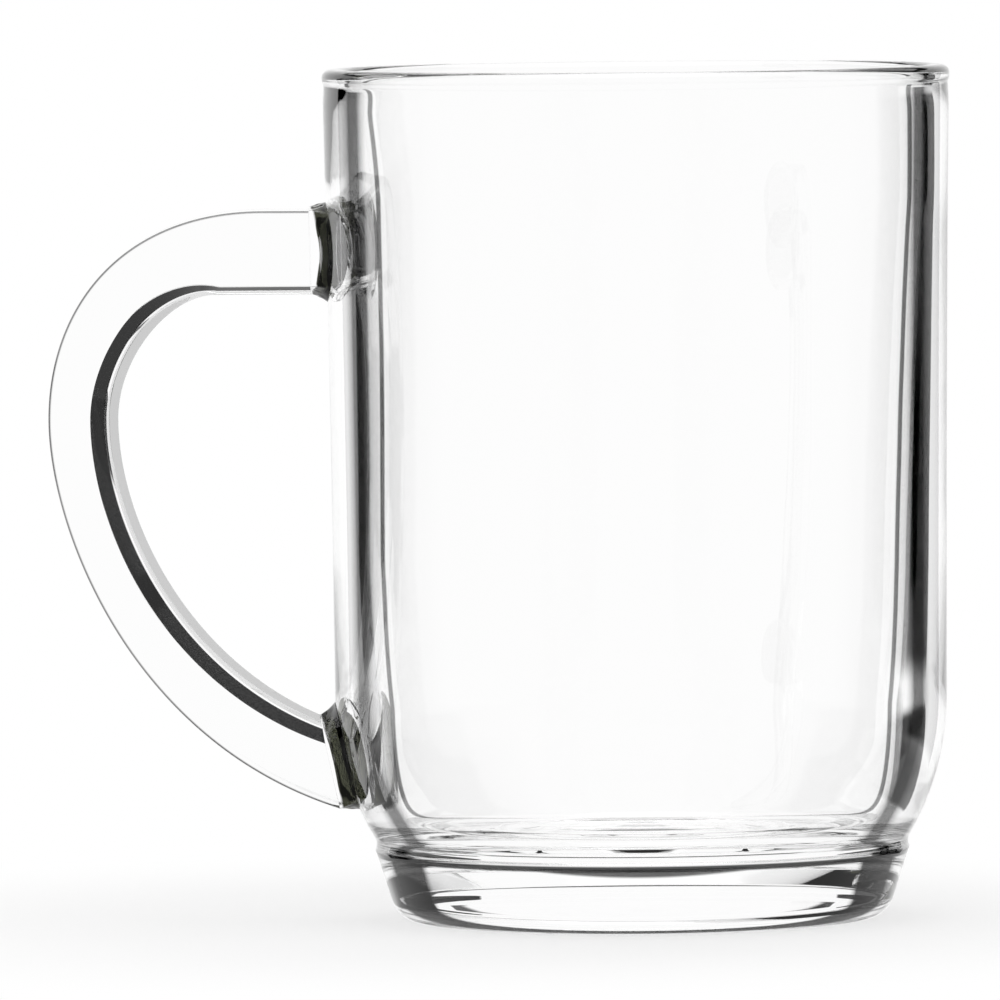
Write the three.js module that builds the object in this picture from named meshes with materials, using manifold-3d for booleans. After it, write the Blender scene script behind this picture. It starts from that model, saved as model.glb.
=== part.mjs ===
// A heavy half-litre glass beer mug: a pressed bowl on a solid foot, a strap handle
// drawn from a second gather of glass, and the two hot-glass welds that fuse it to the wall.
// Millimetres, +Z up, standing on z = 0 with the handle towards -X.

import * as THREE from "three";
import { mergeVertices } from "three/addons/utils/BufferGeometryUtils.js";
import Module from "manifold-3d";

// Bowl, outside
const MUG_HEIGHT = 125;
const WALL_RADIUS = 45.85; // outer radius just below the rim
const WALL_TAPER = 0.95; // how much narrower the wall is where the heel starts
const WALL_WAIST = 0.25; // how far the wall is drawn in from a straight taper
const RIM_PROUD = 0.15; // how far the fire-polished rim bead stands outside the wall
const RIM_BEAD_HEIGHT = 2.8;
const NECK_DEPTH = 0.85; // the shallow neck under the rim bead
const NECK_HEIGHT = 3.2;
const HEEL_TOP = 33; // height at which the wall starts to turn in
const HEEL_SET_IN = 5.7; // how far the foot stands inside the wall
const HEEL_FLARE = 0.6; // how fast the heel widens where it leaves the foot

// Foot and underside
const FOOT_HEIGHT = 10.4;
const FOOT_TAPER = 3.3;
const FOOT_ROUND = 3.2;
const CREASE_HEIGHT = 1.7; // the pressed crease between the foot and the heel
const CREASE_DEPTH = 0.35;
const BEARING_WIDTH = 2.5; // flat ring that the mug stands on
const PUSH_UP = 1.8; // height of the hollow inside that ring

// Bowl, inside
const RIM_WIDTH = 3.25;
const WALL_TOP_THICKNESS = 3.4;
const WALL_LOW_THICKNESS = 5.1;
const INNER_HEEL_TOP = 42; // height at which the inside starts to turn in
const INNER_HEEL_WIDTH = 16; // from the wall's inside to the flat of the floor
const INNER_TUCK = 1.6; // how far the inside draws in before it turns
const INNER_TURN = 9.3; // height of that turn above the floor
const INNER_SWEEP = 12; // length of the sweep into the floor
const FLOOR_HEIGHT = 14;

// Handle
const HANDLE_DEPTH = 15; // across the strap
const HANDLE_TOP_DROP = 20.5; // from the rim down to the top of the handle
const ROOT_THICKNESS = 12.5; // thickness of the level run at the upper weld
const GRIP_THICKNESS = 10.3; // thickness at the bend
const FINGER_GAP = 30.2; // from the wall to the inside of the bend
const BEND_DROP = 30.5; // from the top of the handle down to its farthest point
const OUTER_RUN = 9.5; // level run before the outer edge starts to bend
const INNER_RUN = 16.5; // level run before the inner edge starts to bend
const OUTER_CORNER = 0.8; // crisp outer corners of the strap
const INNER_CORNER = 3.7; // soft corners on the finger side
const LOWER_ROOT_TOP = 30.7; // where the inner edge meets the heel
const LOWER_ROOT_BOTTOM = 17.8; // where the outer edge meets the heel
const OUTER_BEND = { along: 0.65, down: 0.55 }; // fullness of the bend
const INNER_BEND = { along: 0.45, down: 0.5 };
const OUTER_RETURN = { down: 0.28, along: 32, slope: 18 }; // sweep back to the heel
const INNER_RETURN = { down: 0.36, along: 20, slope: 24 };

// Welds
const WELD_LENGTH = 2.4; // from the wall to the end of the handle
const WELD_FLARE = 1.2; // how far the weld spreads beyond the handle
const SEAT_CLEARANCE = 0.3; // between a weld's seat and the wall
const SEAT_OVERRUN = 1; // how far a weld runs on before its seat is cut

// Fineness of the surfaces
const TURN_STEPS = 64;
const CURVE_STEPS = 5;
const CORNER_STEPS = 3;
const RUN_STEPS = 2;
const BEND_STEPS = 16;
const RETURN_STEPS = 20;
const WELD_STEPS = 5;

// Sizes that follow from the ones above
const RIM_RADIUS = WALL_RADIUS + RIM_PROUD;
const WALL_TOP = MUG_HEIGHT - RIM_BEAD_HEIGHT - NECK_HEIGHT;
const WALL_LOW_RADIUS = WALL_RADIUS - WALL_TAPER;
const FOOT_TOP_RADIUS = WALL_LOW_RADIUS - HEEL_SET_IN;
const FOOT_BASE_RADIUS = FOOT_TOP_RADIUS - FOOT_TAPER;
const BEARING_EDGE = FOOT_BASE_RADIUS - FOOT_ROUND - BEARING_WIDTH;
const HEEL_BOTTOM = FOOT_HEIGHT + CREASE_HEIGHT;
const HANDLE_TOP = MUG_HEIGHT - HANDLE_TOP_DROP;
const BEND_HEIGHT = HANDLE_TOP - BEND_DROP;

const wasm = await Module();
wasm.setup();

// Outline of the bowl's outside in (radius, height), from the bearing ring up to the neck.
function outsidePath() {
  const roundStart = FOOT_BASE_RADIUS - FOOT_ROUND;
  const footSide = FOOT_BASE_RADIUS + (FOOT_TAPER * FOOT_ROUND) / FOOT_HEIGHT;
  const creaseRadius = FOOT_TOP_RADIUS - CREASE_DEPTH;
  const heelTurn = HEEL_BOTTOM + HEEL_SET_IN / HEEL_FLARE;
  const wallWaist = (WALL_RADIUS + WALL_LOW_RADIUS) / 2 - WALL_WAIST;
  const neckRadius = RIM_RADIUS - NECK_DEPTH;
  const neckHeight = MUG_HEIGHT - RIM_BEAD_HEIGHT;
  const path = new THREE.Path();
  path.moveTo(BEARING_EDGE, 0);
  path.lineTo(roundStart, 0);
  path.quadraticCurveTo(FOOT_BASE_RADIUS, 0, footSide, FOOT_ROUND);
  path.lineTo(FOOT_TOP_RADIUS, FOOT_HEIGHT);
  path.lineTo(creaseRadius, FOOT_HEIGHT + CREASE_HEIGHT / 2);
  path.lineTo(FOOT_TOP_RADIUS, HEEL_BOTTOM);
  path.quadraticCurveTo(WALL_LOW_RADIUS, heelTurn, WALL_LOW_RADIUS, HEEL_TOP);
  path.quadraticCurveTo(wallWaist, (HEEL_TOP + WALL_TOP) / 2, WALL_RADIUS, WALL_TOP);
  path.quadraticCurveTo(WALL_RADIUS, (WALL_TOP + neckHeight) / 2, neckRadius, neckHeight);
  return path;
}

// Outline of the whole bowl: push-up, outside, rim bead, inside and floor.
function bowlOutline() {
  const beadMiddle = MUG_HEIGHT - RIM_BEAD_HEIGHT / 2;
  const rimMiddle = RIM_RADIUS - RIM_WIDTH / 2;
  const lipInside = RIM_RADIUS - RIM_WIDTH;
  const insideTop = WALL_RADIUS - WALL_TOP_THICKNESS;
  const insideLow = WALL_LOW_RADIUS - WALL_LOW_THICKNESS;
  const floorEdge = insideLow - INNER_HEEL_WIDTH;
  const push = new THREE.Path();
  push.moveTo(0, PUSH_UP);
  push.quadraticCurveTo(BEARING_EDGE / 2, PUSH_UP, BEARING_EDGE, 0);
  const outside = outsidePath();
  const neck = outside.currentPoint;
  const rest = new THREE.Path();
  rest.moveTo(neck.x, neck.y);
  rest.quadraticCurveTo(RIM_RADIUS, neck.y, RIM_RADIUS, beadMiddle);
  rest.quadraticCurveTo(RIM_RADIUS, MUG_HEIGHT, rimMiddle, MUG_HEIGHT);
  rest.quadraticCurveTo(lipInside, MUG_HEIGHT, lipInside, beadMiddle);
  rest.lineTo(insideTop, WALL_TOP);
  rest.lineTo(insideLow, INNER_HEEL_TOP);
  rest.bezierCurveTo(
    insideLow - INNER_TUCK, FLOOR_HEIGHT + INNER_TURN,
    floorEdge + INNER_SWEEP, FLOOR_HEIGHT,
    floorEdge, FLOOR_HEIGHT,
  );
  rest.lineTo(0, FLOOR_HEIGHT);
  const pieces = [push, outside, rest].map((path) => path.getPoints(CURVE_STEPS));
  return [...pieces[0], ...pieces[1].slice(1), ...pieces[2].slice(1)];
}

// A closed solid of revolution about +Z from an outline that starts and ends on the axis.
function revolve(outline) {
  const geometry = new THREE.LatheGeometry(outline, TURN_STEPS);
  geometry.rotateX(Math.PI / 2);
  return geometry;
}

// Radius of the bowl's outside at a height, read off its outline.
const outsidePoints = outsidePath().getPoints(CURVE_STEPS);
function wallRadius(height) {
  const next = outsidePoints.findIndex((point) => point.y > height);
  const above = outsidePoints[next];
  const below = outsidePoints[next - 1];
  return THREE.MathUtils.mapLinear(height, below.y, above.y, below.x, above.x);
}

// A point on the handle's end plane: off the wall at a height, square to the wall.
function offWall(height) {
  const probe = 1;
  const slope = (wallRadius(height + probe) - wallRadius(height - probe)) / (2 * probe);
  const outward = new THREE.Vector2(-1, -slope).normalize();
  return new THREE.Vector2(-wallRadius(height), height).addScaledVector(outward, WELD_LENGTH);
}

// One edge of the handle in (x, z): level run, bend, and sweep back to the heel.
function handleEdge({ top, run, farthest, rootHeight, bend, sweep }) {
  const start = offWall(top);
  const turn = new THREE.Vector2(-wallRadius(top) - run, top);
  const far = new THREE.Vector2(farthest, BEND_HEIGHT);
  const end = offWall(rootHeight);
  const slope = THREE.MathUtils.degToRad(sweep.slope);
  const reach = turn.x - far.x;
  const level = new THREE.LineCurve(start, turn);
  const bow = new THREE.CubicBezierCurve(
    turn,
    new THREE.Vector2(turn.x - bend.along * reach, top),
    new THREE.Vector2(far.x, far.y + bend.down * (top - far.y)),
    far,
  );
  const back = new THREE.CubicBezierCurve(
    far,
    new THREE.Vector2(far.x, far.y - sweep.down * (far.y - end.y)),
    new THREE.Vector2(end.x - sweep.along * Math.cos(slope), end.y + sweep.along * Math.sin(slope)),
    end,
  );
  return [
    ...level.getPoints(RUN_STEPS),
    ...bow.getPoints(BEND_STEPS).slice(1),
    ...back.getPoints(RETURN_STEPS).slice(1),
  ];
}

// Cross-section of the strap between its inner and outer edge: flat sides, crisp outer
// corners and soft finger-side corners, as a ring of points.
function strapRing(inner, outer, depth) {
  const half = depth / 2;
  const thickness = inner.distanceTo(outer);
  const up = outer.clone().sub(inner).normalize();
  const soft = Math.min(INNER_CORNER, thickness / 2, half);
  const crisp = Math.min(OUTER_CORNER, thickness / 2, half);
  const quarter = Math.PI / 2;
  const outline = new THREE.Path();
  outline.absarc(half - soft, soft, soft, -quarter, 0);
  outline.absarc(half - crisp, thickness - crisp, crisp, 0, quarter);
  outline.absarc(crisp - half, thickness - crisp, crisp, quarter, 2 * quarter);
  outline.absarc(soft - half, soft, soft, 2 * quarter, 3 * quarter);
  return outline.getPoints(CORNER_STEPS).map(
    (point) => new THREE.Vector3(inner.x + up.x * point.y, -point.x, inner.y + up.y * point.y),
  );
}

// A closed solid through a row of rings, with a flat cap at each end.
function loft(rings) {
  const count = rings[0].length;
  const last = (rings.length - 1) * count;
  const index = [];
  for (let ring = 0; ring < rings.length - 1; ring += 1) {
    for (let point = 0; point < count; point += 1) {
      const a = ring * count + point;
      const b = ring * count + ((point + 1) % count);
      index.push(a, b, b + count, a, b + count, a + count);
    }
  }
  for (let point = 1; point < count - 1; point += 1) {
    index.push(0, point + 1, point);
    index.push(last, last + point, last + point + 1);
  }
  const geometry = new THREE.BufferGeometry().setFromPoints(rings.flat());
  geometry.setIndex(index);
  return geometry;
}

function toSolid(geometry) {
  const bare = geometry.clone();
  bare.deleteAttribute("normal");
  bare.deleteAttribute("uv");
  const merged = mergeVertices(bare);
  const triVerts = Uint32Array.from(merged.index.array);
  const vertProperties = Float32Array.from(merged.attributes.position.array);
  return new wasm.Manifold(new wasm.Mesh({ numProp: 3, vertProperties, triVerts }));
}

function toGeometry(solid) {
  const mesh = solid.getMesh();
  const geometry = new THREE.BufferGeometry();
  geometry.setAttribute("position", new THREE.BufferAttribute(mesh.vertProperties, 3));
  geometry.setIndex(new THREE.BufferAttribute(mesh.triVerts, 1));
  return geometry;
}

// The space that the wall takes up, with the seat clearance round it.
function wallSpace() {
  const grown = outsidePoints.map((point) => new THREE.Vector2(point.x + SEAT_CLEARANCE, point.y));
  return revolve([new THREE.Vector2(0, 0), ...grown, new THREE.Vector2(0, grown.at(-1).y)]);
}

// Rings of a weld: from the end of the handle, square to its end face, into the wall.
function weldRings(inner, outer) {
  const up = outer.clone().sub(inner).normalize();
  const ahead = new THREE.Vector2(Math.abs(up.y), -up.x * Math.sign(up.y));
  const half = HANDLE_DEPTH / 2 + WELD_FLARE;
  const bulge = WALL_RADIUS - Math.sqrt(WALL_RADIUS ** 2 - half ** 2);
  const depth = WELD_LENGTH + bulge + SEAT_OVERRUN;
  const rings = [];
  for (let step = 0; step <= WELD_STEPS; step += 1) {
    const travel = (depth * step) / WELD_STEPS;
    const spread = WELD_FLARE * Math.min(1, travel / WELD_LENGTH) ** 2;
    const low = inner.clone().addScaledVector(ahead, travel).addScaledVector(up, -spread);
    const high = outer.clone().addScaledVector(ahead, travel).addScaledVector(up, spread);
    rings.push(strapRing(low, high, HANDLE_DEPTH + 2 * spread));
  }
  return rings;
}

// A weld cut to the curve of the wall.
function seated(rings) {
  return toGeometry(toSolid(loft(rings)).subtract(toSolid(wallSpace())));
}

const outerEdge = handleEdge({
  top: HANDLE_TOP,
  run: OUTER_RUN,
  farthest: -WALL_RADIUS - FINGER_GAP - GRIP_THICKNESS,
  rootHeight: LOWER_ROOT_BOTTOM,
  bend: OUTER_BEND,
  sweep: OUTER_RETURN,
});
const innerEdge = handleEdge({
  top: HANDLE_TOP - ROOT_THICKNESS,
  run: INNER_RUN,
  farthest: -WALL_RADIUS - FINGER_GAP,
  rootHeight: LOWER_ROOT_TOP,
  bend: INNER_BEND,
  sweep: INNER_RETURN,
});

function handleGeometry() {
  return loft(outerEdge.map((outer, step) => strapRing(innerEdge[step], outer, HANDLE_DEPTH)));
}

function upperWeldGeometry() {
  return seated(weldRings(innerEdge[0], outerEdge[0]).reverse());
}

function lowerWeldGeometry() {
  return seated(weldRings(innerEdge.at(-1), outerEdge.at(-1)));
}

const clearGlass = new THREE.MeshStandardMaterial({ color: 0xe4ebe6, roughness: 0.04, metalness: 0 });
const weldGlass = new THREE.MeshStandardMaterial({ color: 0xc9d0c4, roughness: 0.12, metalness: 0 });

function piece(name, geometry, material) {
  const mesh = new THREE.Mesh(geometry, material);
  mesh.name = name;
  return mesh;
}

// The origin lies under the middle of the whole mug, handle included.
const mug = new THREE.Group();
mug.position.x = (WALL_RADIUS + FINGER_GAP + GRIP_THICKNESS - RIM_RADIUS) / 2;
mug.add(piece("bowl", revolve(bowlOutline()), clearGlass));
mug.add(piece("handle", handleGeometry(), clearGlass));
mug.add(piece("upper_weld", upperWeldGeometry(), weldGlass));
mug.add(piece("lower_weld", lowerWeldGeometry(), weldGlass));

export default mug;
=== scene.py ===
"""A clear glass beer mug: pressed bowl on a heavy foot, strap handle and the two fused welds on its ends."""
import math

import bpy
import numpy as np
from mathutils import Matrix, Vector


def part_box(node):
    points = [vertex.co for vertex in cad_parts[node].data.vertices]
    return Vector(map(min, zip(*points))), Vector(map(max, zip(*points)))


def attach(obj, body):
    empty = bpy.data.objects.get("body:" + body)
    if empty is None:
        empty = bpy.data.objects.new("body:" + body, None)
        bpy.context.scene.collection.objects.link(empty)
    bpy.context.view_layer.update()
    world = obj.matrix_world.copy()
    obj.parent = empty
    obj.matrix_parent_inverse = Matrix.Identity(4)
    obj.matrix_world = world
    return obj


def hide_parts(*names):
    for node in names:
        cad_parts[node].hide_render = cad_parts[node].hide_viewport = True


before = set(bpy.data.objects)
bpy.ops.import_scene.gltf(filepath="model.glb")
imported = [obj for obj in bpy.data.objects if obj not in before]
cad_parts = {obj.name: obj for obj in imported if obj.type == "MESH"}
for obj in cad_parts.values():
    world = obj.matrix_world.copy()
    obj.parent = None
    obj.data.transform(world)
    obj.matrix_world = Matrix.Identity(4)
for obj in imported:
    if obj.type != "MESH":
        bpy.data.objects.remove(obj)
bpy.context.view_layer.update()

MM = 0.001

# Places taken from the frame
bowl_low, bowl_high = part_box("bowl")
handle_low, handle_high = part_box("handle")
AXIS_X = (bowl_low.x + bowl_high.x) / 2
RIM_RADIUS = (bowl_high.x - bowl_low.x) / 2
HEIGHT = bowl_high.z
HANDLE_TOP = handle_high.z
HANDLE_REACH = AXIS_X - handle_low.x
HANDLE_DEPTH = handle_high.y - handle_low.y

# Bowl's outside
WALL_RADIUS = RIM_RADIUS - 0.15 * MM
WALL_TAPER = 0.95 * MM
WALL_WAIST = 0.25 * MM
RIM_BEAD_HEIGHT = 2.6 * MM
BEAD_CLEAR = 3.2 * MM
NECK_DEPTH = 0.25 * MM
NECK_HEIGHT = 3.2 * MM
HEEL_TOP = 33 * MM
HEEL_SET_IN = 5.7 * MM
HEEL_FLARE = 0.6
FOOT_HEIGHT = 10.4 * MM
FOOT_TAPER = 3.3 * MM
FOOT_ROUND = 3.2 * MM
# A painted dark line of shade round the foot's upper edge, not part of its shape
FOOT_LINE_HEIGHT = 9.9 * MM
FOOT_LINE_CORE = 0.3 * MM
FOOT_LINE_EDGE = 0.6 * MM
CREASE_HEIGHT = 1.7 * MM
CREASE_DEPTH = 0.35 * MM
BEARING_WIDTH = 2.5 * MM
PUSH_UP = 1.8 * MM
RIDGE_HEIGHT = 0.3 * MM
RIDGE_WIDTH = 0.9 * MM
RIDGE_RADII = (11.7 * MM, 21.5 * MM)

# Bowl's inside, with points as a radius and a height
RIM_WIDTH = 3.7 * MM
BORE_WAIST = (40.2 * MM, 100 * MM)
BORE_LOW = (39.75 * MM, 52 * MM)
BORE_TUCK = (39.0 * MM, 26 * MM)
BORE_LEAN = 0.85 * MM
BORE_LEAN_HEIGHTS = (54 * MM, 112 * MM)
BORE_LEAN_FADE = 20 * MM
FLOOR_SWEEP = 37.8 * MM
FLOOR_EDGE = 32 * MM
FLOOR_HEIGHT = 14 * MM
RING_HEIGHT = 0.5 * MM
RING_WIDTH = 3.0 * MM
RING_RADII = (6.8 * MM, 17.9 * MM, 28.8 * MM)

# Points along the bowl's profile and round it
BEARING_POINTS = 4
ROUND_POINTS = 10
SIDE_POINTS = 12
CREASE_POINTS = 12
HEEL_POINTS = 300
WALL_POINTS = 600
NECK_POINTS = 12
BEAD_POINTS = 10
LIP_POINTS = 9
BORE_POINTS = 24
SWEEP_POINTS = 44
UNDERSIDE_STEPS = 56
FLOOR_STEPS = 90
FOOT_STEPS = BEARING_POINTS + ROUND_POINTS + SIDE_POINTS - 3
FOOT_POINTS = FOOT_STEPS + CREASE_POINTS
LOW_ROWS = 3
MIDDLE_ROWS = 24
HIGH_ROWS = 8
FAR_COLUMNS = 152

# Handle: a bend is two shares of the way, and a sweep is a share, a length and a slope in degrees
ROOT_THICKNESS = 12.5 * MM
GRIP_THICKNESS = 10.3 * MM
BEND_DROP = 30.5 * MM
OUTER_RUN = 9.5 * MM
OUTER_BEND = (0.65, 0.55)
OUTER_SWEEP = (0.28, 32 * MM, 18)
INNER_RUN = 16.5 * MM
INNER_BEND = (0.45, 0.5)
INNER_SWEEP = (0.36, 20 * MM, 24)
OUTER_CORNER = 0.8 * MM
SIDE_CORNER = 0.25 * MM
SHOULDER_CORNER = 0.3 * MM
TIP_CORNER = 0.8 * MM
NOSE_LENGTH = 4.25 * MM
NOSE_AT_ROOT = 0.35
NOSE_JOIN = 0.3
NOSE_SHARE = 0.397
NOSE_TIP = 0.49
LOWER_ROOT_TOP = 30.7 * MM
LOWER_ROOT_BOTTOM = 17.8 * MM
RUN_POINTS = 8
BEND_POINTS = 60
BACK_POINTS = 72
SECTION_CORNERS = 7
CORNER_POINTS = 6
FLAT_SHARES = (0.04, 0.3, 0.7, 0.96)
END_GUARD = 0.02

# Welds
WELD_LENGTH = 2.4 * MM
WELD_FLARE = 1.1 * MM
WELD_SIDE_FLARE = 2.2 * MM
WELD_ROUNDNESS = 2.2
WELD_START = 0.05
WELD_GROWTH = 1.3
WELD_FADE = 0.1
WELD_POINTS = 360
WELD_STEPS = 30
WELD_EASE = 1.5
WELD_WAY = np.linspace(0, 1, WELD_STEPS)[:, None] ** WELD_EASE
UPPER_LAG = 0.4
LOWER_LAG = 0.15
LAG_POWER = 4
WRINKLE = 0.06 * MM
FINE_WRINKLE_SHARE = 0.6
WRINKLE_COUNTS = (11, 17)
WRINKLE_SLIDES = (0.5, 0.7)
UPPER_SEED = 0.4
LOWER_SEED = 1.9
WALL_SEARCH = 6 * WELD_LENGTH
SEARCH_HALVINGS = 40
WALL_PROBE = 1 * MM

# Seats of the welds on the wall
SEAT_STEPS = 41
SEAT_SHARE = 0.6
SEAT_TURN = math.radians(21)
LOWER_SEAT = (12.6 * MM, 36.6 * MM)
UPPER_SEAT = (86.3 * MM, 110.3 * MM)
SEAT_RINGS = 12
SEAT_SHRINK = np.linspace(1, 0, SEAT_RINGS + 1)[1:-1, None]
POCKET_SHARE = 0.75
POCKET_DEPTH = 0.15 * MM
ROUNDING = 1e-6
SMALLEST = 1e-9

# Marks of the faces, which pick a piece's materials in their order
SKIN, CONTACT, EDGE, CORNER, TIP = range(5)

# Photograph's view
VIEW_WIDTH = 146.7 * MM
CAMERA_DISTANCE = 2.17
CAMERA_HEIGHT = 0.166
CAMERA_ROLL = math.radians(-0.55)
VIEW_CENTRE = Vector((-0.26 * MM, 0, 61.6 * MM))
SENSOR_WIDTH = 36
CLIP_END = 20

# Glass: a band is painted shade, a ramp from how far a face is turned away to a grey that stands in for the
# dark surroundings the thick glass bends into view
WHITE = (1, 1, 1, 1)
GLASS_INDEX = 1.52
DULL_INDEX = 1.25
NOSE_INDEX = 1.1
TIP_INDEX = 1.05
WALL_SHADE_BAND = ((0.5, 1.0), (0.55, 0.05), (0.61, 0.05), (0.67, 1.0))
BORE_SHADE_BAND = ((0.655, 1.0), (0.665, 0.02), (0.705, 0.02), (0.715, 1.0))
NOSE_SHADE_BAND = ((0.42, 1.0), (0.46, 0.001), (0.9, 0.001))
CORNER_SHADE_BAND = ((0.08, 1.0), (0.25, 0.08), (1.0, 0.02))
# Painted shade on the foot: the facings where it darkens and clears again, and its near-black grey
FOOT_DARKENS = (0.46, 0.5)
FOOT_CLEARS = (0.7, 0.78)
FOOT_PAINTED_SHADE = (0.005, 0.005, 0.005, 1)
# Flat grey of painted shade on the handle's tip facets
TIP_PAINTED_SHADE = (0.6, 0.6, 0.6, 1)
# Fused glass's olive cast, darkened nearly to black as painted shade
WELD_OLIVE_AND_SHADE = (0.002, 0.0022, 0.001, 1)
# A pale opaque sheet in the upper seat: painted light for the bright oval seen through the wall
PAINTED_PALE_SHEET = (0.95, 0.95, 0.95, 1)
PAINTED_SHEET_ROUGHNESS = 0.3
WAVE_SCALE = 60
WAVE_DETAIL = 1.0
WAVE_DEPTH = 0.02 * MM
FINE_WAVE_DEPTH = 0.004 * MM
SMUDGE_SCALE = 35
SMUDGE_DETAIL = 4.0
SMUDGE_RANGE = (0.55, 0.75)
SMUDGE_ROUGHNESS = 0.012

# Studio, with angles in degrees
TABLE_RADIUS = 0.15
TABLE_SIDES = 96
TABLE_DROP = 0.1 * MM
TABLE_GREY = (0.92, 0.92, 0.92, 1)
TABLE_SHADOW_SHARE = 0.3
TABLE_FADE = (0.4 * TABLE_RADIUS, 0.95 * TABLE_RADIUS)
LEFT_FIELD = ((36.0, 1.0), (36.4, 0.0), (56.0, 0.0), (60.0, 0.6), (80.0, 1.0))
RIGHT_FIELD = ((28.2, 1.0), (28.6, 0.0), (56.0, 0.0), (60.0, 0.6), (80.0, 1.0))
RIGHT_ANGLE = 90
FIELD_WIDENING = 0.6
FIELD_WIDENS = (2, 13)
GAP_LOW = (20, 21)
GAP_HIGH = (25, 26)
GAP_SIDES = (70, 85)
GAP_DARKNESS = 0.97
CARD_LOW = (-11.5, -9)
CARD_HIGH = (46, 54)
ROOM_SIDES = (80, 95)
ROOM_BELOW = (-14, -9)
ROOM_ABOVE = (40, 55)
ROOM_DARKNESS = 0.45
LAMP_SIZE = 0.8
LAMP_ENERGY = 2.0
LAMP_HEIGHT = 1.2
MOST_BOUNCES = 24
GLOSSY_BOUNCES = 16


def bezier(points, count):
    """Bernstein sum of a curve's control points at evenly spaced parameters."""
    t = np.linspace(0, 1, count)[:, None]
    degree = len(points) - 1
    terms = [
        math.comb(degree, k) * (1 - t) ** (degree - k) * t**k * np.asarray(point, float)
        for k, point in enumerate(points)
    ]
    return sum(terms)


def chain(*curves):
    """Joins curves end to end, without repeating the shared points."""
    return np.concatenate([curves[0]] + [curve[1:] for curve in curves[1:]])


def outside_profile():
    """Radius and height of the bowl's outside, from the bearing ring's inner edge up to the neck."""
    low = WALL_RADIUS - WALL_TAPER
    foot_top = low - HEEL_SET_IN
    foot_base = foot_top - FOOT_TAPER
    ring_outside = foot_base - FOOT_ROUND
    ring_inside = ring_outside - BEARING_WIDTH
    foot_side = foot_base + FOOT_TAPER * FOOT_ROUND / FOOT_HEIGHT
    crease = (foot_top - CREASE_DEPTH, FOOT_HEIGHT + CREASE_HEIGHT / 2)
    heel_bottom = FOOT_HEIGHT + CREASE_HEIGHT
    heel_turn = heel_bottom + HEEL_SET_IN / HEEL_FLARE
    neck_height = HEIGHT - RIM_BEAD_HEIGHT
    wall_top = neck_height - NECK_HEIGHT
    waist = ((WALL_RADIUS + low) / 2 - WALL_WAIST, (HEEL_TOP + wall_top) / 2)
    neck = [
        (WALL_RADIUS, wall_top),
        (WALL_RADIUS, (wall_top + neck_height) / 2),
        (RIM_RADIUS - NECK_DEPTH, neck_height - RIM_BEAD_HEIGHT / 4),
        (RIM_RADIUS - NECK_DEPTH, neck_height),
    ]
    return chain(
        bezier([(ring_inside, 0), (ring_outside, 0)], BEARING_POINTS),
        bezier([(ring_outside, 0), (foot_base, 0), (foot_side, FOOT_ROUND)], ROUND_POINTS),
        bezier([(foot_side, FOOT_ROUND), (foot_top, FOOT_HEIGHT)], SIDE_POINTS),
        bezier([(foot_top, FOOT_HEIGHT), crease, (foot_top, heel_bottom)], CREASE_POINTS),
        bezier([(foot_top, heel_bottom), (low, heel_turn), (low, HEEL_TOP)], HEEL_POINTS),
        bezier([(low, HEEL_TOP), waist, neck[0]], WALL_POINTS),
        bezier(neck, NECK_POINTS),
    )


OUTSIDE = outside_profile()


def underside(edge):
    """Radius and height of the hollow under the foot: a shallow dome with round ridges hanging from it.

    The dome falls with the square of the radius, and each ridge is a bell curve round its own radius.
    """
    radius = np.linspace(0, edge, UNDERSIDE_STEPS)
    bells = sum(np.exp(-(((radius - ridge) / RIDGE_WIDTH) ** 2)) for ridge in RIDGE_RADII)
    height = PUSH_UP * (1 - (radius / edge) ** 2) - RIDGE_HEIGHT * bells
    return np.stack([radius, np.maximum(height, 0)], axis=-1)


def floor_rings():
    """Radius and height of the drinking floor, from its edge in: flat, with low rings left by the mould.

    Each ring is a shallow tent round its own radius.
    """
    radius = np.linspace(FLOOR_EDGE, 0, FLOOR_STEPS)
    tents = sum(np.maximum(1 - np.abs(radius - ring) / RING_WIDTH, 0) for ring in RING_RADII)
    height = FLOOR_HEIGHT + RING_HEIGHT * tents
    return np.stack([radius, height], axis=-1)


def outside_rows():
    """The outside's rows: foot and neck as they are, and the heel and wall in steps that fit the seats."""
    foot = OUTSIDE[:FOOT_POINTS]
    neck = OUTSIDE[-NECK_POINTS:]
    height = chain(
        np.linspace(foot[-1, 1], LOWER_SEAT[0], LOW_ROWS),
        np.linspace(*LOWER_SEAT, SEAT_STEPS),
        np.linspace(LOWER_SEAT[1], UPPER_SEAT[0], MIDDLE_ROWS),
        np.linspace(*UPPER_SEAT, SEAT_STEPS),
        np.linspace(UPPER_SEAT[1], neck[0, 1], HIGH_ROWS),
    )
    return chain(foot, np.stack([wall_radius(height), height], axis=-1), neck)


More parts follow.
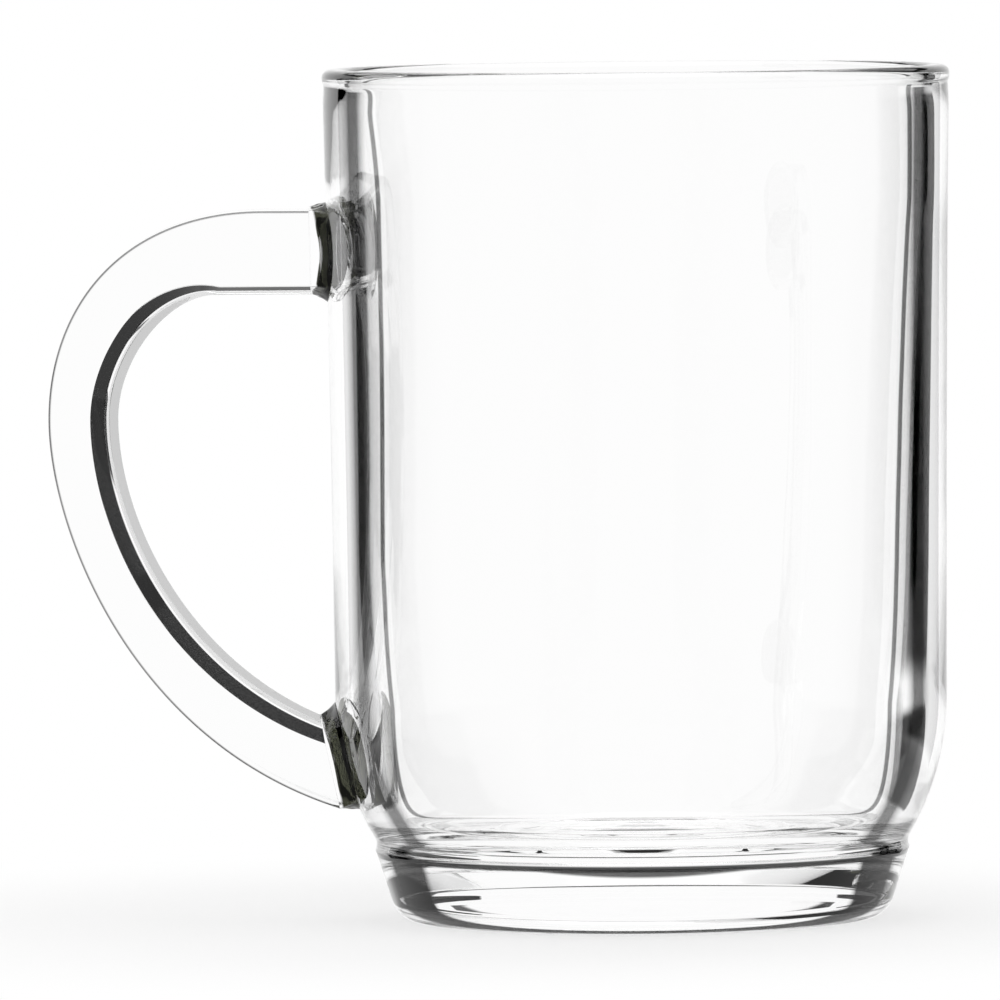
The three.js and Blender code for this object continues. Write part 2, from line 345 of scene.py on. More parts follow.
def bowl_profile():
    """Radius and height once round the bowl's section: push-up, outside, rim bead, inside and floor."""
    neck = OUTSIDE[-1]
    bead_middle = HEIGHT - RIM_BEAD_HEIGHT / 2
    lip_inside = RIM_RADIUS - RIM_WIDTH
    lip_middle = RIM_RADIUS - RIM_WIDTH / 2
    bead = [
        neck,
        (neck[0], neck[1] + RIM_BEAD_HEIGHT / 6),
        (RIM_RADIUS, bead_middle - RIM_BEAD_HEIGHT / 3),
        (RIM_RADIUS, bead_middle),
    ]
    sweep = [BORE_LOW, BORE_TUCK, (FLOOR_SWEEP, FLOOR_HEIGHT), (FLOOR_EDGE, FLOOR_HEIGHT)]
    return chain(
        underside(OUTSIDE[0, 0]),
        outside_rows(),
        bezier(bead, BEAD_POINTS),
        bezier([(RIM_RADIUS, bead_middle), (RIM_RADIUS, HEIGHT), (lip_middle, HEIGHT)], LIP_POINTS),
        bezier([(lip_middle, HEIGHT), (lip_inside, HEIGHT), (lip_inside, bead_middle)], LIP_POINTS),
        bezier([(lip_inside, bead_middle), BORE_WAIST, BORE_LOW], BORE_POINTS),
        bezier(sweep, SWEEP_POINTS),
        floor_rings(),
    )


def wall_radius(height):
    """Radius of the bowl's outside at given heights, read off its profile above the bearing ring."""
    side = OUTSIDE[BEARING_POINTS:]
    return np.interp(height, side[:, 1], side[:, 0])


def off_wall(height):
    """A point in (x, z) that stands a weld's length off the wall at a height, square to it."""
    rise = wall_radius(height + WALL_PROBE) - wall_radius(height - WALL_PROBE)
    slope = rise / (2 * WALL_PROBE)
    outward = np.array([-1, -slope]) / math.hypot(1, slope)
    return np.array([AXIS_X - wall_radius(height), height]) + outward * WELD_LENGTH


def handle_edge(top, run, farthest, root, bend, sweep):
    """One edge of the handle in (x, z): a level run, a bend, and the sweep back to the heel."""
    start = off_wall(top)
    end = off_wall(root)
    turn = np.array([AXIS_X - wall_radius(top) - run, top])
    far = np.array([farthest, HANDLE_TOP - BEND_DROP])
    slope = math.radians(sweep[2])
    bow = [
        turn,
        (turn[0] - bend[0] * (turn[0] - far[0]), top),
        (far[0], far[1] + bend[1] * (top - far[1])),
        far,
    ]
    back = [
        far,
        (far[0], far[1] - sweep[0] * (far[1] - end[1])),
        (end[0] - sweep[1] * math.cos(slope), end[1] + sweep[1] * math.sin(slope)),
        end,
    ]
    return chain(bezier([start, turn], RUN_POINTS), bezier(bow, BEND_POINTS), bezier(back, BACK_POINTS))


OUTER_EDGE = handle_edge(
    HANDLE_TOP,
    OUTER_RUN,
    AXIS_X - HANDLE_REACH,
    LOWER_ROOT_BOTTOM,
    OUTER_BEND,
    OUTER_SWEEP,
)
INNER_EDGE = handle_edge(
    HANDLE_TOP - ROOT_THICKNESS,
    INNER_RUN,
    AXIS_X - HANDLE_REACH + GRIP_THICKNESS,
    LOWER_ROOT_TOP,
    INNER_BEND,
    INNER_SWEEP,
)


def nose_lengths(count):
    """How far the strap's finger side narrows to its tip: little at the upper root, in full past the bend.

    It grows along the strap by a smooth step.
    """
    share = np.clip(np.linspace(0, 1, count) / NOSE_JOIN, 0, 1)
    return NOSE_LENGTH * (NOSE_AT_ROOT + (1 - NOSE_AT_ROOT) * share**2 * (3 - 2 * share))


def strap_section(thickness, depth, nose):
    """Rings of the strap's section: flat faces, crisp outer corners and a bevelled nose on the finger side.

    The rings' points are (across, out), one row of points for each thickness, depth and nose given.
    Each corner of the outline is a small parabola between points a set way along its two sides.
    """
    half, zero = depth / 2, 0 * depth
    shoulder = half * NOSE_SHARE
    corners = [
        (zero, zero, TIP_CORNER),
        (shoulder, nose * NOSE_TIP, SHOULDER_CORNER),
        (half, nose, SIDE_CORNER),
        (half, thickness, OUTER_CORNER),
        (-half, thickness, OUTER_CORNER),
        (-half, nose, SIDE_CORNER),
        (-shoulder, nose * NOSE_TIP, SHOULDER_CORNER),
    ]
    places = [np.stack(corner[:2], axis=-1) for corner in corners]
    blend = np.linspace(0, 1, CORNER_POINTS)[None, :, None]
    ends = []
    for number, place in enumerate(places):
        before = places[number - 1] - place
        after = places[(number + 1) % SECTION_CORNERS] - place
        reach = corners[number][2]
        start = place + reach * before / np.linalg.norm(before, axis=-1, keepdims=True)
        finish = place + reach * after / np.linalg.norm(after, axis=-1, keepdims=True)
        turn = (1 - blend) ** 2 * start[:, None] + 2 * blend * (1 - blend) * place[:, None]
        ends.append(turn + blend**2 * finish[:, None])
    share = np.array(FLAT_SHARES)[None, :, None]
    flats = [
        (1 - share) * arc[:, -1:] + share * following[:, :1]
        for arc, following in zip(ends, ends[1:] + ends[:1])
    ]
    return np.concatenate([part for pair in zip(ends, flats) for part in pair], axis=1)


def place_rings(inner, outer, depth, nose):
    """Section rings between an inner and an outer edge: across is -Y, and out runs from edge to edge."""
    span = np.linalg.norm(outer - inner, axis=1)
    out = (outer - inner) / span[:, None]
    rings = strap_section(span, depth, nose)
    x = inner[:, :1] + rings[..., 1] * out[:, :1]
    z = inner[:, 1:] + rings[..., 1] * out[:, 1:]
    return np.stack([x, -rings[..., 0], z], axis=-1)


def put_in_scene(name, data):
    """Adds an object with its data to the scene."""
    made = bpy.data.objects.new(name, data)
    bpy.context.scene.collection.objects.link(made)
    return made


def closed_mesh(name, grid, poles, marks, end_marks, crisp):
    """A closed mesh from a grid of rings: quads between neighbouring rings and a fan to each pole.

    The marks give each quad's material, and the end marks each fan's. Marked contacts are flat if crisp.
    """
    rows, columns = grid.shape[:2]
    points = np.concatenate([grid.reshape(-1, 3), poles])
    first, last = rows * columns, rows * columns + 1
    row, column = np.meshgrid(np.arange(rows - 1), np.arange(columns), indexing="ij")
    ahead = (column + 1) % columns
    below, above = row * columns, (row + 1) * columns
    quads = np.stack([below + column, below + ahead, above + ahead, above + column], axis=-1)
    ring = np.arange(columns)
    turned = (ring + 1) % columns
    end = (rows - 1) * columns
    fans = np.concatenate(
        [
            np.stack([np.full(columns, first), turned, ring], axis=-1),
            np.stack([np.full(columns, last), end + ring, end + turned], axis=-1),
        ]
    )
    mesh = bpy.data.meshes.new(name)
    mesh.from_pydata(points, [], quads.reshape(-1, 4).tolist() + fans.tolist())
    kinds = np.concatenate([marks.ravel(), np.repeat(end_marks, columns)]).astype(np.int32)
    mesh.polygons.foreach_set("material_index", kinds)
    mesh.polygons.foreach_set("use_smooth", ~((kinds == CONTACT) & crisp))
    mesh.validate()
    return put_in_scene(name, mesh)


def oval_reach(turn, thickness):
    """Distance from a weld's middle to its oval outline on the wall, in a direction of the end plane.

    The oval is a superellipse a little wider and higher than the strap's end.
    """
    wide = HANDLE_DEPTH / 2 + WELD_SIDE_FLARE
    high = thickness / 2 + WELD_FLARE
    power = WELD_ROUNDNESS
    sides = np.abs(np.cos(turn) / wide) ** power + np.abs(np.sin(turn) / high) ** power
    return sides ** (-1 / power)


def end_frame(step):
    """Inner point, out direction, direction into the wall and thickness of one end of the handle."""
    inner, outer = INNER_EDGE[step], OUTER_EDGE[step]
    thickness = np.linalg.norm(outer - inner)
    out = (outer - inner) / thickness
    ahead = np.array([abs(out[1]), -out[0] * np.sign(out[1])])
    return inner, out, ahead, thickness


def end_plane(step, turn, reach):
    """Points of a handle end's plane at a reach from its middle, for directions in that plane."""
    inner, out, _, thickness = end_frame(step)
    middle = inner + thickness / 2 * out
    rise = reach * np.sin(turn)
    return np.stack([middle[0] + rise * out[0], -reach * np.cos(turn), middle[1] + rise * out[1]], axis=-1)


def reach_wall(points, ahead):
    """How far points travel along a direction in (x, z) until they meet the wall, by bisection."""
    low = np.zeros(len(points))
    high = np.full(len(points), WALL_SEARCH)
    for _ in range(SEARCH_HALVINGS):
        middle = (low + high) / 2
        x = points[:, 0] + middle * ahead[0] - AXIS_X
        z = points[:, 2] + middle * ahead[1]
        short = np.hypot(x, points[:, 1]) > wall_radius(z)
        low = np.where(short, middle, low)
        high = np.where(short, high, middle)
    return (low + high) / 2


def folds(turn, way, seed):
    """Wrinkles round a weld: two waves of different pitch that slide along the collar as they go."""
    slide = 2 * math.pi * way
    coarse = np.sin(WRINKLE_COUNTS[0] * turn + WRINKLE_SLIDES[0] * slide + seed)
    fine = np.sin(WRINKLE_COUNTS[1] * turn - WRINKLE_SLIDES[1] * slide + 2 * seed)
    return WRINKLE * (coarse + FINE_WRINKLE_SHARE * fine) * np.sin(math.pi * way) ** 2


def seat_outline(step, turn):
    """Points of a weld's oval on the wall, for directions in the end plane of the handle."""
    _, _, ahead, thickness = end_frame(step)
    flat = end_plane(step, turn, oval_reach(turn, thickness))
    travel = reach_wall(flat.reshape(-1, 3), ahead).reshape(turn.shape)
    return flat + travel[..., None] * np.array([ahead[0], 0, ahead[1]])


def seat_grid(step, heights):
    """Bearings, heights and square radii of a block of the wall's grid with a weld's oval in it.

    The oval is the block's inner square. Inside it the block is the oval shrunk to its middle, and
    outside it the oval goes over to the block's own straight border.
    """
    across, up = np.meshgrid(np.linspace(-1, 1, SEAT_STEPS), np.linspace(-1, 1, SEAT_STEPS))
    square = np.maximum(np.abs(across), np.abs(up))
    sign = 1 if step == 0 else -1
    edge = seat_outline(step, np.arctan2(sign * up, across))
    oval = np.stack([np.arctan2(-edge[..., 1], AXIS_X - edge[..., 0]), edge[..., 2]], axis=-1)
    low, high = heights
    middle = np.array([0, oval[..., 1].mean()])
    safe = np.maximum(square, SMALLEST)
    level = (low + high) / 2 + up / safe * (high - low) / 2
    border = np.stack([across / safe * SEAT_TURN, level], axis=-1)
    inside = middle + (square / SEAT_SHARE)[..., None] * (oval - middle)
    share = ((square - SEAT_SHARE) / (1 - SEAT_SHARE))[..., None]
    outside = (1 - share) * oval + share * border
    placed = np.where(square[..., None] <= SEAT_SHARE, inside, outside)
    return placed[..., 0], placed[..., 1], square


def bowl_lean(profile, top):
    """How far each row of the profile leans off the axis: the inside only, most below the rim."""
    height = profile[:, 1]
    share = np.clip((height - BORE_LEAN_HEIGHTS[0]) / np.ptp(BORE_LEAN_HEIGHTS), 0, 1)
    share = share * np.clip((HEIGHT - height) / BORE_LEAN_FADE, 0, 1)
    return np.where(np.arange(len(profile)) > top, BORE_LEAN * share, 0)[:, None]


def bowl_marks(profile, top, columns):
    """Marks of the bowl's faces by rows: wall, inside and underside, the foot's side and the rim bead."""
    marks = np.full((len(profile) - 1, columns), EDGE)
    marks[:top] = SKIN
    marks[: UNDERSIDE_STEPS - 1] = EDGE
    marks[UNDERSIDE_STEPS : UNDERSIDE_STEPS + FOOT_STEPS] = CORNER
    marks[profile[:-1, 1] > HEIGHT - BEAD_CLEAR] = TIP
    return marks


def bowl():
    """The bowl's profile turned about its axis, with a seat for each weld in the outside's grid."""
    whole = bowl_profile()
    profile, poles = whole[1:-1], whole[[0, -1]]
    near = np.linspace(-SEAT_TURN, SEAT_TURN, SEAT_STEPS)
    far = np.linspace(SEAT_TURN, 2 * math.pi - SEAT_TURN, FAR_COLUMNS)[1:-1]
    bearing = np.tile(np.concatenate([near, far]), (len(profile), 1))
    radius = np.repeat(profile[:, :1], bearing.shape[1], axis=1)
    height = np.repeat(profile[:, 1:], bearing.shape[1], axis=1)
    top = int(np.argmax(profile[:, 1]))
    marks = bowl_marks(profile, top, bearing.shape[1])
    for step, heights in ((0, UPPER_SEAT), (-1, LOWER_SEAT)):
        first = int(np.argmin(np.abs(profile[:top, 1] - heights[0])))
        rows, columns = slice(first, first + SEAT_STEPS), slice(0, SEAT_STEPS)
        turn, rise, square = seat_grid(step, heights)
        bearing[rows, columns] = turn
        height[rows, columns] = rise
        radius[rows, columns] = wall_radius(rise)
        within = square <= SEAT_SHARE + ROUNDING
        touching = within[:-1, :-1] & within[:-1, 1:] & within[1:, :-1] & within[1:, 1:]
        marks[first : first + SEAT_STEPS - 1, : SEAT_STEPS - 1][touching] = CONTACT
    x = AXIS_X + bowl_lean(profile, top) - radius * np.cos(bearing)
    grid = np.stack([x, -radius * np.sin(bearing), height], axis=-1)
    ends = [(AXIS_X, 0, pole[1]) for pole in poles]
    return closed_mesh("mug_bowl", grid, ends, marks, (EDGE, EDGE), False)


def handle_marks(rows, columns):
    """Marks of the strap's faces round its section.

    Its corners run round from the tip: 1 and 6 are the shoulders, 2 and 5 the sides, 3 and 4 the outer ones.
    """
    marks = np.full((rows, columns), SKIN)
    corner = columns // SECTION_CORNERS
    arc = CORNER_POINTS - 1
    marks[:, :corner] = TIP
    marks[:, (SECTION_CORNERS - 1) * corner + arc :] = TIP
    for bevel in (1, 5):
        marks[:, bevel * corner + arc : (bevel + 1) * corner] = EDGE
    for outer in (3, 4):
        marks[:, outer * corner : outer * corner + arc] = CORNER
    return marks


def handle():
    """The strap's section carried from the upper to the lower end between its two edges.

    A ring close to each end keeps the ends' faces crisp.
    """
    depth = np.full(len(INNER_EDGE), HANDLE_DEPTH)
    grid = place_rings(INNER_EDGE, OUTER_EDGE, depth, nose_lengths(len(INNER_EDGE)))
    first = (1 - END_GUARD) * grid[:1] + END_GUARD * grid[1:2]
    last = (1 - END_GUARD) * grid[-1:] + END_GUARD * grid[-2:-1]
    grid = np.concatenate([grid[:1], first, grid[1:-1], last, grid[-1:]])
    caps = [grid[0].mean(axis=0), grid[-1].mean(axis=0)]
    marks = handle_marks(grid.shape[0] - 1, grid.shape[1])
    return closed_mesh("mug_handle", grid, caps, marks, (CONTACT, CONTACT), True)


def weld_reach(step, turn, seed, lag):
    """Distances of a weld's rings from its middle, and how dark each of their points is painted, as olive
    cast and painted shade.

    A ring's distance goes over from the strap's outline to the oval's: at once at the corners, and later
    in the middle of each face. The seat's rings are the oval shrunk to its middle.
    """
    thickness = end_frame(step)[3]
    nose = nose_lengths(len(INNER_EDGE))[[step]]
    ring = strap_section(np.array([thickness]), np.array([HANDLE_DEPTH]), nose)[0]
    up = ring[:, 1] - thickness / 2
    start = np.interp(turn, np.arctan2(up, ring[:, 0]), np.hypot(ring[:, 0], up), period=2 * math.pi)
    finish = oval_reach(turn, thickness)
    late = WELD_START + lag * np.cos(turn) ** LAG_POWER
    grown = np.clip((WELD_WAY - late) / (1 - late), 0, 1)
    collar = start + (finish - start) * grown**WELD_GROWTH + folds(turn, grown, seed)
    seat = finish * SEAT_SHRINK
    # How dark each point is painted: olive cast and painted shade from where the collar starts to flare, and
    # over the whole seat
    dark = np.clip((WELD_WAY - late) / WELD_FADE, 0, 1)
    return np.concatenate([collar, seat]), np.concatenate([dark, np.ones(seat.shape)])


def weld_marks(shape):
    """Marks of a weld's faces by rings: the collar, the seat's border and the pocket, whose material is
    painted light on the upper weld and painted shade on the lower.
    """
    marks = np.full(shape, EDGE)
    border = round(SEAT_RINGS * (1 - POCKET_SHARE))
    marks[: WELD_STEPS - 1] = SKIN
    marks[WELD_STEPS - 1 : WELD_STEPS - 1 + border] = CONTACT
    return marks


def weld(name, step, seed, lag):
    """A wrinkled collar from the handle's end ring to an oval on the wall, closed by its seat.

    Each point of a ring runs a share of the way into the wall. Inside the oval the seat follows the wall,
    with a shallow pocket sunk in its middle.
    """
    ahead = end_frame(step)[2]
    turn = np.linspace(-math.pi, math.pi, WELD_POINTS, endpoint=False)
    reach, dark = weld_reach(step, turn, seed, lag)
    flat = end_plane(step, turn, reach)
    oval = np.repeat(flat[WELD_STEPS - 1 : WELD_STEPS], WELD_STEPS, axis=0)
    ends = np.concatenate([oval, flat[WELD_STEPS:]])
    travel = reach_wall(ends.reshape(-1, 3), ahead).reshape(reach.shape)
    travel[:WELD_STEPS] *= WELD_WAY
    travel[WELD_STEPS:] -= POCKET_DEPTH * np.clip((POCKET_SHARE - SEAT_SHRINK) * SEAT_RINGS, 0, 1)
    toward = np.array([ahead[0], 0, ahead[1]])
    grid = flat + travel[..., None] * toward
    centre = end_plane(step, 0, 0)
    pole = centre + (reach_wall(centre[None], ahead)[0] - POCKET_DEPTH) * toward
    poles = [grid[0].mean(axis=0), pole]
    marks = weld_marks((len(grid) - 1, grid.shape[1]))
    end_marks = [CONTACT, EDGE]
    if step == 0:
        grid, marks, dark = grid[::-1], marks[::-1], dark[::-1]
        poles, end_marks = poles[::-1], end_marks[::-1]
    made = closed_mesh(name, grid, poles, marks, end_marks, True)
    fused = made.data.attributes.new("fused", "FLOAT", "POINT")
    fused.data.foreach_set("value", np.append(dark.ravel(), [1, 1]).astype(np.float32))
    return made


class Wire:
    """A socket of a node tree: arithmetic on it adds Math nodes, and node() adds any other node."""

    def __init__(self, tree, socket=None):
        self.tree = tree
        self.socket = socket

    def node(self, kind, settings, inputs, output=0):
        """Adds a node of a kind with its settings and the values or wires of its sockets."""
        made = self.tree.nodes.new(kind)
        for name, value in settings.items():
            if name == "stops":
                set_stops(made.color_ramp, value)
            else:
                setattr(made, name, value)
        for name, value in inputs.items():
            if isinstance(value, Wire):
                self.tree.links.new(value.socket, made.inputs[name])
            else:
                made.inputs[name].default_value = value
        return Wire(self.tree, made.outputs[output]) if made.outputs else made

    def maths(self, operation, *values):
        """Adds a Math node for an operation on values or wires."""
        return self.node("ShaderNodeMath", {"operation": operation}, dict(enumerate(values)))

    def __add__(self, other):
        return self.maths("ADD", self, other)

    def __sub__(self, other):
        return self.maths("SUBTRACT", self, other)

    def __rsub__(self, other):
        return self.maths("SUBTRACT", other, self)

    def __mul__(self, other):
        return self.maths("MULTIPLY", self, other)

    def __truediv__(self, other):
        return self.maths("DIVIDE", self, other)

    __radd__ = __add__
    __rmul__ = __mul__


def set_stops(ramp, stops):
    """Gives a colour ramp its stops, each a place and a grey level."""
    while len(ramp.elements) > 1:
        ramp.elements.remove(ramp.elements[-1])
    for number, (place, level) in enumerate(stops):
        stop = ramp.elements[0] if number == 0 else ramp.elements.new(place)
        stop.position = place
        stop.color = (level, level, level, 1)


def smooth_step(wire, value, low, high):
    """A soft step of a wire from 0 at one value to 1 at another."""
    ends = {"Value": value, "From Min": low, "From Max": high}
    return wire.node("ShaderNodeMapRange", {"interpolation_type": "SMOOTHSTEP"}, ends)


def step_up(wire, value, low, high):
    """A soft step of an angle from 0 at one value to 1 at another, both in degrees."""
    return smooth_step(wire, value, math.radians(low), math.radians(high))


def new_material(name):
    """An empty node material and the wire that builds it."""
    material = bpy.data.materials.new(name)
    material.use_nodes = True
    material.node_tree.nodes.clear()
    return material, Wire(material.node_tree)


def glass_surface(wire, colour, index, depth=WAVE_DEPTH):
    """Pressed glass of a given colour, which carries any painted shade, with a faint waviness and smudges
    that dull it a little.
    """
    place = wire.node("ShaderNodeTexCoord", {}, {}, "Object")
    waves = {"Vector": place, "Scale": WAVE_SCALE, "Detail": WAVE_DETAIL}
    wave = wire.node("ShaderNodeTexNoise", {}, waves)
    bump = wire.node("ShaderNodeBump", {}, {"Height": wave, "Distance": depth, "Strength": 1.0})
    smudges = {"Vector": place, "Scale": SMUDGE_SCALE, "Detail": SMUDGE_DETAIL}
    smudge = wire.node("ShaderNodeTexNoise", {}, smudges)
    look = {
        "Base Color": colour,
        "Roughness": SMUDGE_ROUGHNESS * smooth_step(wire, smudge, *SMUDGE_RANGE),
        "IOR": index,
        "Transmission Weight": 1.0,
        "Normal": bump,
    }
    surface = wire.node("ShaderNodeBsdfPrincipled", {}, look)
    wire.node("ShaderNodeOutputMaterial", {}, {"Surface": surface})


def toward_shade(wire, share, tint):
    """A colour that goes from clear to a darker colour by a share: painted shade on the foot, and on the
    welds an olive cast with painted shade.
    """
    return wire.node("ShaderNodeMix", {"data_type": "RGBA"}, {0: share, 6: WHITE, 7: tint}, 2)


def turned_away(wire):
    """How far the surface is turned away from the eye: 0 where it faces it and 1 where it is edge on."""
    return wire.node("ShaderNodeLayerWeight", {}, {"Blend": 0.5}, "Facing")


def foot_glass():
    """The foot's glass: painted shade where it is seen at a slant, and from outside a painted dark line of
    shade along its upper edge.
    """
    material, wire = new_material("foot_glass")
    place = wire.node("ShaderNodeTexCoord", {}, {}, "Object")
    height = wire.node("ShaderNodeSeparateXYZ", {}, {0: place}, "Z")
    # Painted dark line of shade along the upper edge, seen from outside only
    off_line = wire.maths("ABSOLUTE", height - FOOT_LINE_HEIGHT)
    shade_line = 1 - smooth_step(wire, off_line, FOOT_LINE_CORE, FOOT_LINE_EDGE)
    shade_line = shade_line * (1 - wire.node("ShaderNodeNewGeometry", {}, {}, "Backfacing"))
    # Painted shade where the foot is seen at a slant
    away = turned_away(wire)
    side = smooth_step(wire, away, *FOOT_DARKENS) * (1 - smooth_step(wire, away, *FOOT_CLEARS))
    glass_surface(wire, toward_shade(wire, wire.maths("MAXIMUM", shade_line, side), FOOT_PAINTED_SHADE), GLASS_INDEX)
    return material


def even_glass(name, tint, index=GLASS_INDEX, depth=WAVE_DEPTH):
    """Pressed soda-lime glass of one colour all over, which for the handle's tip is a flat grey of painted
    shade.
    """
    material, wire = new_material(name)
    glass_surface(wire, tint, index, depth)
    return material


def shade_banded_glass(name, stops, index=GLASS_INDEX, depth=WAVE_DEPTH):
    """Clear glass with painted shade where it is seen at a slant, between the facings of its stops: a grey
    that stands in for the dark surroundings the glass bends into view.
    """
    material, wire = new_material(name)
    tint = wire.node("ShaderNodeValToRGB", {"stops": stops}, {"Fac": turned_away(wire)})
    glass_surface(wire, tint, index, depth)
    return material


def weld_glass():
    """The same glass where it was fused: an olive cast, darkened nearly to black as painted shade, from
    where the collar flares.
    """
    material, wire = new_material("weld_glass")
    fused = wire.node("ShaderNodeAttribute", {"attribute_name": "fused"}, {}, "Fac")
    glass_surface(wire, toward_shade(wire, fused, WELD_OLIVE_AND_SHADE), DULL_INDEX)
    return material


def painted_light_sheet():
    """A pale opaque sheet in the middle of the upper seat: painted light that stands in for the bright oval
    seen through the wall.
    """
    material, wire = new_material("painted_light_sheet")
    look = {"Base Color": PAINTED_PALE_SHEET, "Roughness": PAINTED_SHEET_ROUGHNESS}
    surface = wire.node("ShaderNodeBsdfPrincipled", {}, look)
    wire.node("ShaderNodeOutputMaterial", {}, {"Surface": surface})
    return material


def fused_contact():
    """The boundary inside a fused joint, where glass meets glass and nothing shows."""
    material, wire = new_material("fused_contact")
    surface = wire.node("ShaderNodeBsdfPrincipled", {}, {"Alpha": 0.0})
    wire.node("ShaderNodeOutputMaterial", {}, {"Surface": surface})
    return material


def ray_kind(wire, kind):
    """1 for light that comes along one kind of ray, and 0 for the rest."""
    return wire.node("ShaderNodeLightPath", {}, {}, kind)


def table_white():
    """A white table that glows evenly to the eye and takes a soft shadow; glass looks on past it."""
    material, wire = new_material("table_white")
    seen = ray_kind(wire, "Is Camera Ray")
    past = wire.maths("MAXIMUM", ray_kind(wire, "Is Glossy Ray"), ray_kind(wire, "Is Transmission Ray"))
    glow = wire.node("ShaderNodeEmission", {}, {"Color": WHITE, "Strength": 1.0})
    lit = wire.node("ShaderNodeBsdfDiffuse", {}, {"Color": TABLE_GREY})
    clear = wire.node("ShaderNodeBsdfTransparent", {}, {})
    place = wire.node("ShaderNodeTexCoord", {}, {}, "Object")
    away = wire.node("ShaderNodeVectorMath", {"operation": "LENGTH"}, {0: place}, "Value")
    fade = smooth_step(wire, away, *TABLE_FADE)
    share = seen * (1 - TABLE_SHADOW_SHARE * (1 - fade))
    shown = wire.node("ShaderNodeMixShader", {}, {0: share, 1: lit, 2: glow})
    surface = wire.node("ShaderNodeMixShader", {}, {0: past, 1: shown, 2: clear})
    wire.node("ShaderNodeOutputMaterial", {}, {"Surface": surface})
    return material


def table():
    """A flat disc just under the mug."""
    turn = np.linspace(0, 2 * math.pi, TABLE_SIDES, endpoint=False)
    level = np.full(TABLE_SIDES, -TABLE_DROP)
    rim = np.stack([TABLE_RADIUS * np.cos(turn), TABLE_RADIUS * np.sin(turn), level], axis=-1)
    mesh = bpy.data.meshes.new("table")
    mesh.from_pydata(rim, [], [list(range(TABLE_SIDES))])
    mesh.materials.append(table_white())
    made = put_in_scene("table", mesh)


def field_level(wire, spread, field):
    """Brightness by bearing on one side: the white field and the dark card beyond it."""
    stops = [(degrees / RIGHT_ANGLE, level) for degrees, level in field]
    turned = spread * (math.degrees(1) / RIGHT_ANGLE)
    card = wire.node("ShaderNodeValToRGB", {"stops": stops}, {"Fac": turned})
    return wire.node("ShaderNodeRGBToBW", {}, {0: card})


def studio_world():
    """White all round for the eye, and for glass a white field behind with a dark card on each side.

    The bearing from straight behind runs through a ramp: the field, the card and the room beyond. The
    field widens upwards, and a dark gap parts it from the light overhead. Reflections also show the dim
    room in front.
    """
    world = bpy.data.worlds.new("studio")
    bpy.context.scene.world = world
    world.use_nodes = True
    world.node_tree.nodes.clear()
    wire = Wire(world.node_tree)
    direction = wire.node("ShaderNodeTexCoord", {}, {}, "Generated")
    x, y, z = [wire.node("ShaderNodeSeparateXYZ", {}, {0: direction}, axis) for axis in "XYZ"]
    bearing = wire.maths("ABSOLUTE", wire.maths("ARCTAN2", x, y))
    rise = wire.maths("ARCSINE", z)
    spread = bearing / (1 + FIELD_WIDENING * step_up(wire, rise, *FIELD_WIDENS))
    right = wire.maths("GREATER_THAN", x, 0)
    levels = [field_level(wire, spread, field) for field in (LEFT_FIELD, RIGHT_FIELD)]
    field = levels[0] * (1 - right) + levels[1] * right
    gap = step_up(wire, rise, *GAP_LOW) * (1 - step_up(wire, rise, *GAP_HIGH))
    gap = gap * (1 - step_up(wire, bearing, *GAP_SIDES))
    within = step_up(wire, rise, *CARD_LOW) * (1 - step_up(wire, rise, *CARD_HIGH))
    card = (1 - field * (1 - GAP_DARKNESS * gap)) * within
    front = step_up(wire, bearing, *ROOM_SIDES)
    room = wire.maths("MAXIMUM", front, 1 - step_up(wire, rise, *ROOM_BELOW))
    mirrored = ray_kind(wire, "Is Glossy Ray") * (1 - ray_kind(wire, "Is Transmission Ray"))
    room = ROOM_DARKNESS * mirrored * room * (1 - step_up(wire, rise, *ROOM_ABOVE))
    shade = wire.maths("MAXIMUM", card, room) * (1 - ray_kind(wire, "Is Camera Ray"))
    background = wire.node("ShaderNodeBackground", {}, {"Color": WHITE, "Strength": 1 - shade})
    wire.node("ShaderNodeOutputWorld", {}, {"Surface": background})


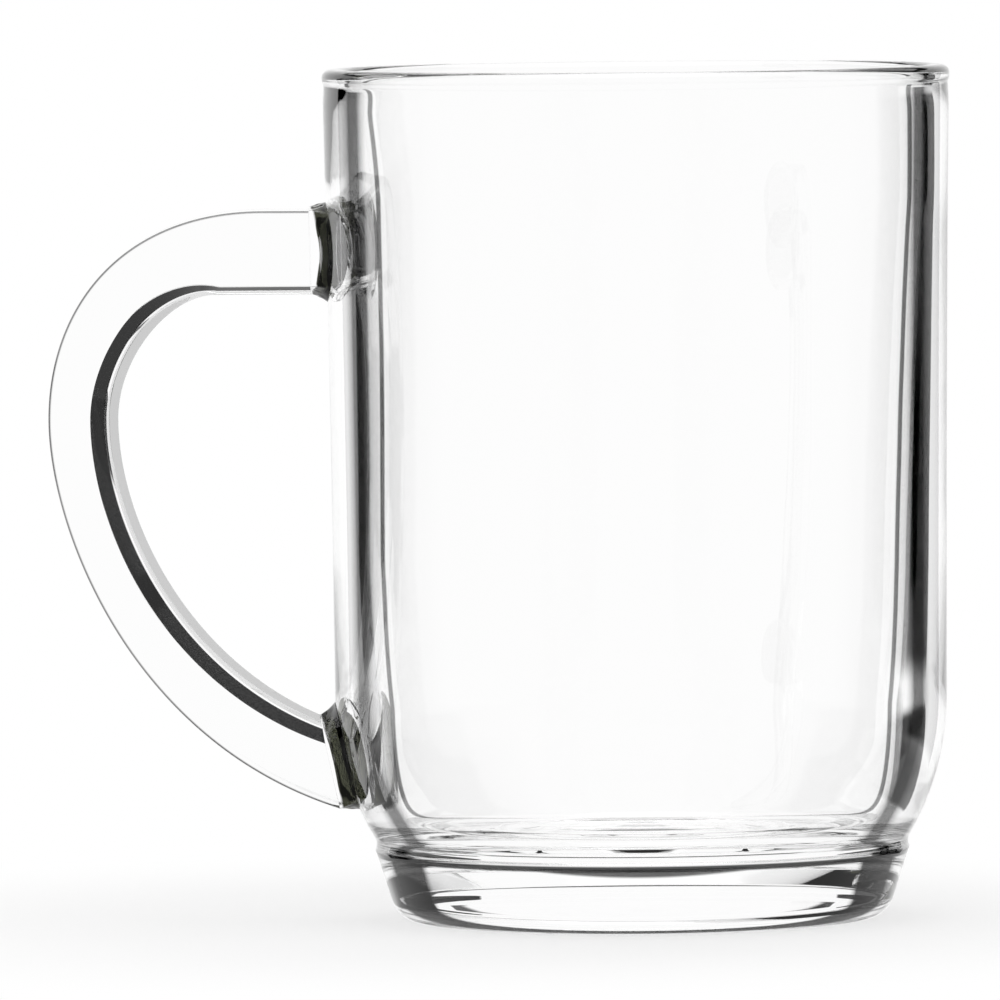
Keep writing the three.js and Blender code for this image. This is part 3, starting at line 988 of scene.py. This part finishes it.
def camera():
    """A long lens at the photograph's height, turned by the photograph's slight roll."""
    lens = bpy.data.cameras.new("camera")
    lens.sensor_width = SENSOR_WIDTH
    place = Vector((VIEW_CENTRE.x, -CAMERA_DISTANCE, CAMERA_HEIGHT))
    view = VIEW_CENTRE - place
    lens.lens = SENSOR_WIDTH * view.length / VIEW_WIDTH
    lens.clip_end = CLIP_END
    turn = view.to_track_quat("-Z", "Y").to_matrix().to_4x4()
    made = put_in_scene("camera", lens)
    made.matrix_world = Matrix.Translation(place) @ turn @ Matrix.Rotation(CAMERA_ROLL, 4, "Z")
    bpy.context.scene.camera = made


def soft_lamp():
    """One wide soft lamp overhead."""
    lamp = bpy.data.lights.new("overhead", "AREA")
    lamp.shape = "DISK"
    lamp.size = LAMP_SIZE
    lamp.energy = LAMP_ENERGY
    made = put_in_scene("overhead", lamp)
    made.location = (0, 0, LAMP_HEIGHT)


def dress(piece, node, materials):
    """Puts a piece in place of its node, on the mug's one body, with its materials."""
    for material in materials:
        piece.data.materials.append(material)
    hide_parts(node)
    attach(piece, "root")


camera()
studio_world()
soft_lamp()
table()
glass = even_glass("clear_glass", WHITE)
# Glass with bands of painted shade by facing, standing in for dark surroundings seen through the thick glass
wall = shade_banded_glass("wall_glass", WALL_SHADE_BAND)
bore = shade_banded_glass("bore_glass", BORE_SHADE_BAND, GLASS_INDEX, FINE_WAVE_DEPTH)
nose = shade_banded_glass("nose_glass", NOSE_SHADE_BAND, NOSE_INDEX)
corner = shade_banded_glass("corner_glass", CORNER_SHADE_BAND)
# The tip's grey is painted shade.
tip = even_glass("tip_glass", TIP_PAINTED_SHADE, TIP_INDEX, FINE_WAVE_DEPTH)
fused = weld_glass()
contact = fused_contact()
dress(bowl(), "bowl", [wall, contact, bore, foot_glass(), glass])
dress(handle(), "handle", [glass, contact, nose, corner, tip])
upper_weld = weld("mug_upper_weld", 0, UPPER_SEED, UPPER_LAG)
# The upper seat's pocket is a pale sheet of painted light.
dress(upper_weld, "upper_weld", [fused, contact, painted_light_sheet()])
lower_weld = weld("mug_lower_weld", -1, LOWER_SEED, LOWER_LAG)
# The lower seat's pocket wears the dark weld glass: painted shade for the dark oval seen through the wall.
dress(lower_weld, "lower_weld", [fused, contact, fused])

scene = bpy.context.scene
scene.view_settings.view_transform = "Standard"
scene.cycles.max_bounces = MOST_BOUNCES
scene.cycles.transmission_bounces = MOST_BOUNCES
scene.cycles.glossy_bounces = GLOSSY_BOUNCES
scene.cycles.transparent_max_bounces = MOST_BOUNCES
